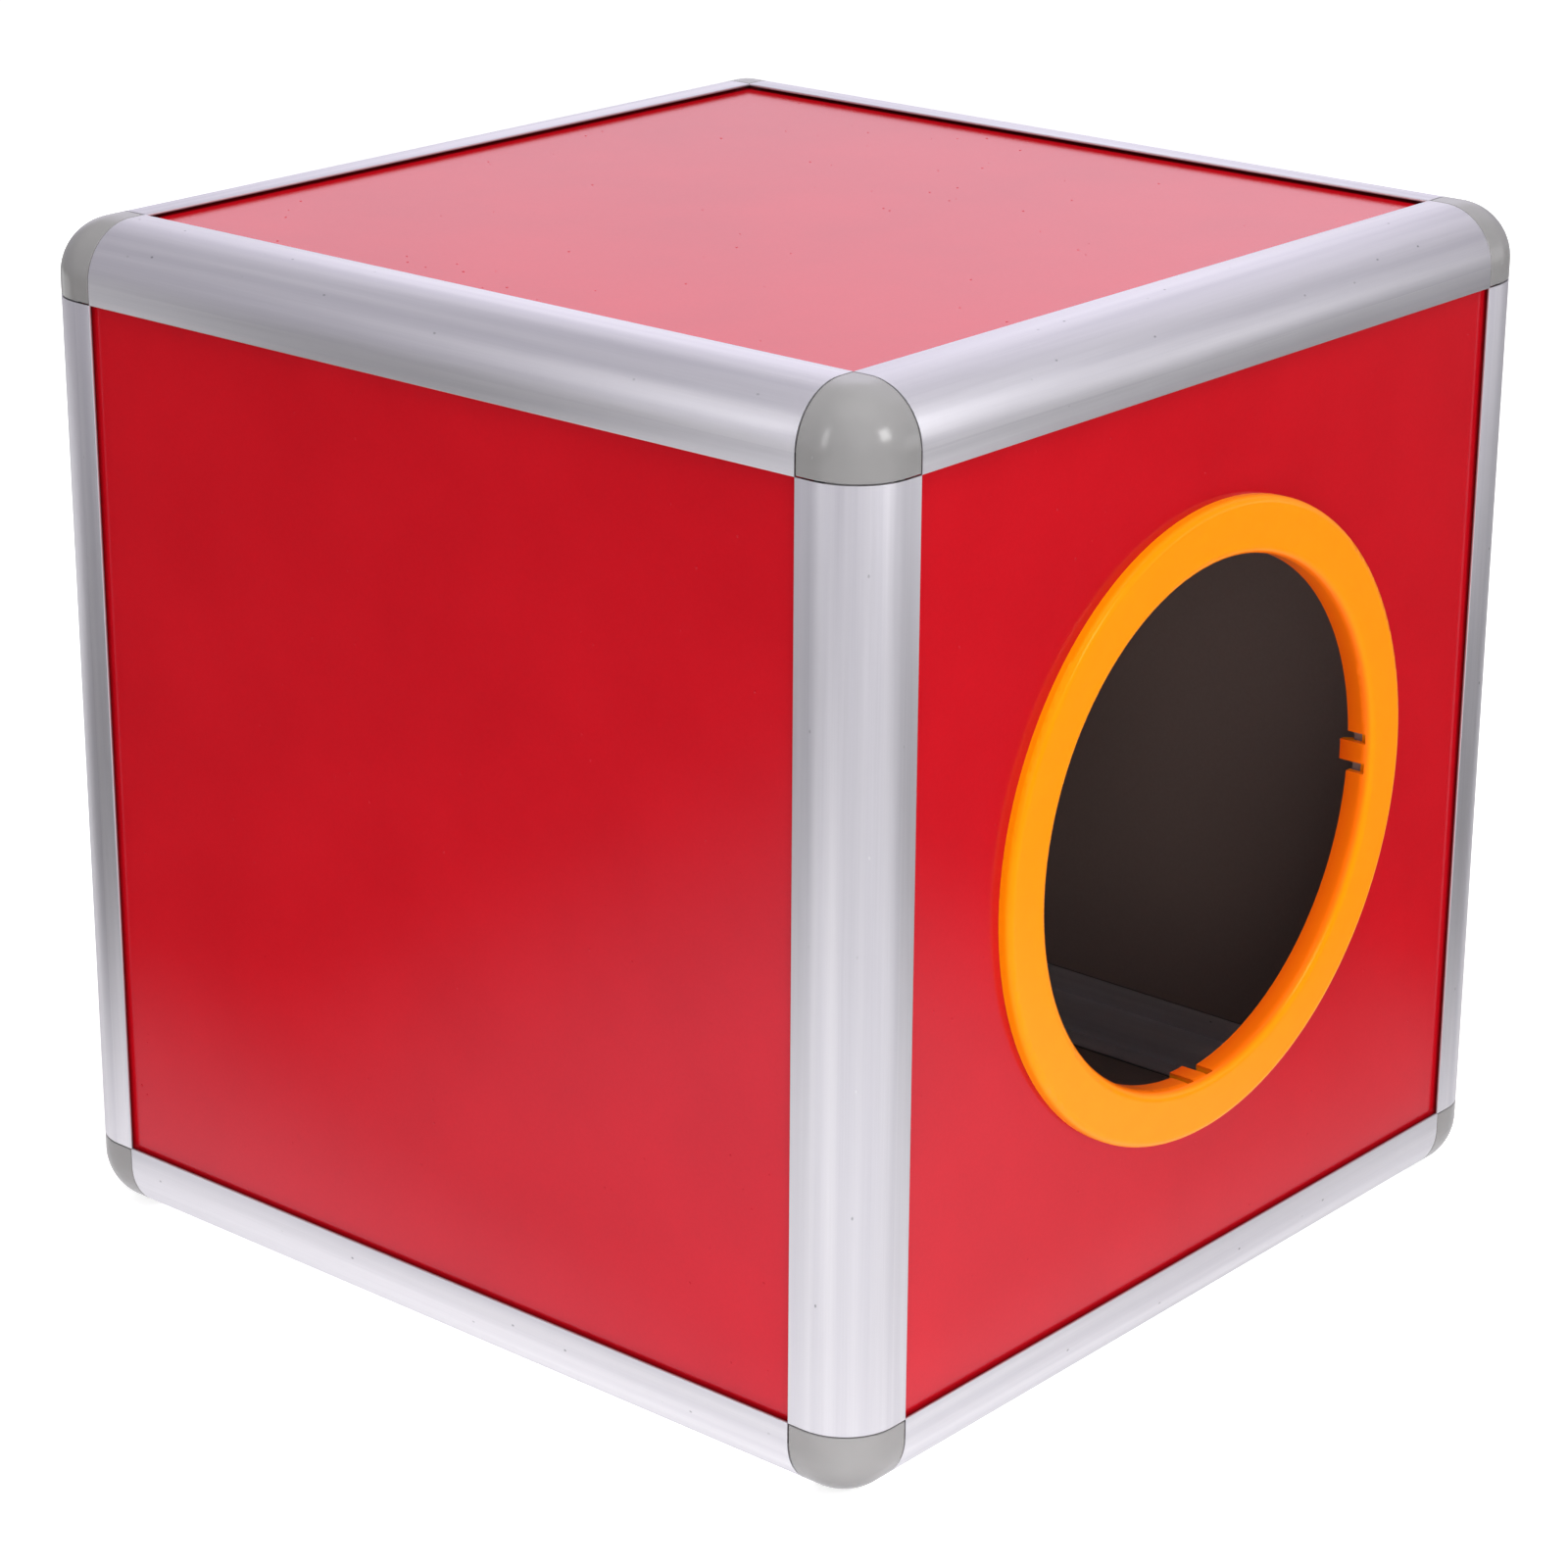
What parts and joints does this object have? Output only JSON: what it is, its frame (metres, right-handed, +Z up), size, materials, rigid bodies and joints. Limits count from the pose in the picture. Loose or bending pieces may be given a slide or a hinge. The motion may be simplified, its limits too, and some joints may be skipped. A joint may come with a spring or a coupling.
{
  "type": "raffle box",
  "caption": "Cubic lucky-draw box: aluminium edge profiles, rounded plastic corners, slotted-in red boards and an orange snap-in hand hole ring on the front.",
  "frame": {"origin": "centre of the base, on the plane of the bottom lips that the box stands on", "axes": "+Z up; the board with the hand hole ring faces -Y; +X is to the right seen from the front"},
  "size_m": [0.3, 0.3022, 0.3],
  "materials": {
    "aluminium_profile": "drawn and satin anodised, clear",
    "corner_plastic": "moulded grey ABS, fine satin",
    "board_red": "board faced with pebbled red film outside, plain dark grey inside",
    "ring_orange": "moulded orange plastic, semi-gloss"
  },
  "bodies": {
    "root": {"profile_upright_front_left": "aluminium_profile", "profile_upright_front_right": "aluminium_profile", "profile_upright_back_right": "aluminium_profile", "profile_upright_back_left": "aluminium_profile", "profile_top_front": "aluminium_profile", "profile_top_back": "aluminium_profile", "profile_top_left": "aluminium_profile", "profile_top_right": "aluminium_profile", "profile_bottom_front": "aluminium_profile", "profile_bottom_back": "aluminium_profile", "profile_bottom_left": "aluminium_profile", "profile_bottom_right": "aluminium_profile", "corner_top_front_left": "corner_plastic", "corner_top_front_right": "corner_plastic", "corner_top_back_right": "corner_plastic", "corner_top_back_left": "corner_plastic", "corner_bottom_front_left": "corner_plastic", "corner_bottom_front_right": "corner_plastic", "corner_bottom_back_right": "corner_plastic", "corner_bottom_back_left": "corner_plastic", "panel_front": "board_red", "panel_back": "board_red", "panel_left": "board_red", "panel_right": "board_red", "panel_top": "board_red", "panel_bottom": "board_red", "hand_hole_ring": "ring_orange"}
  },
  "joints": []
}
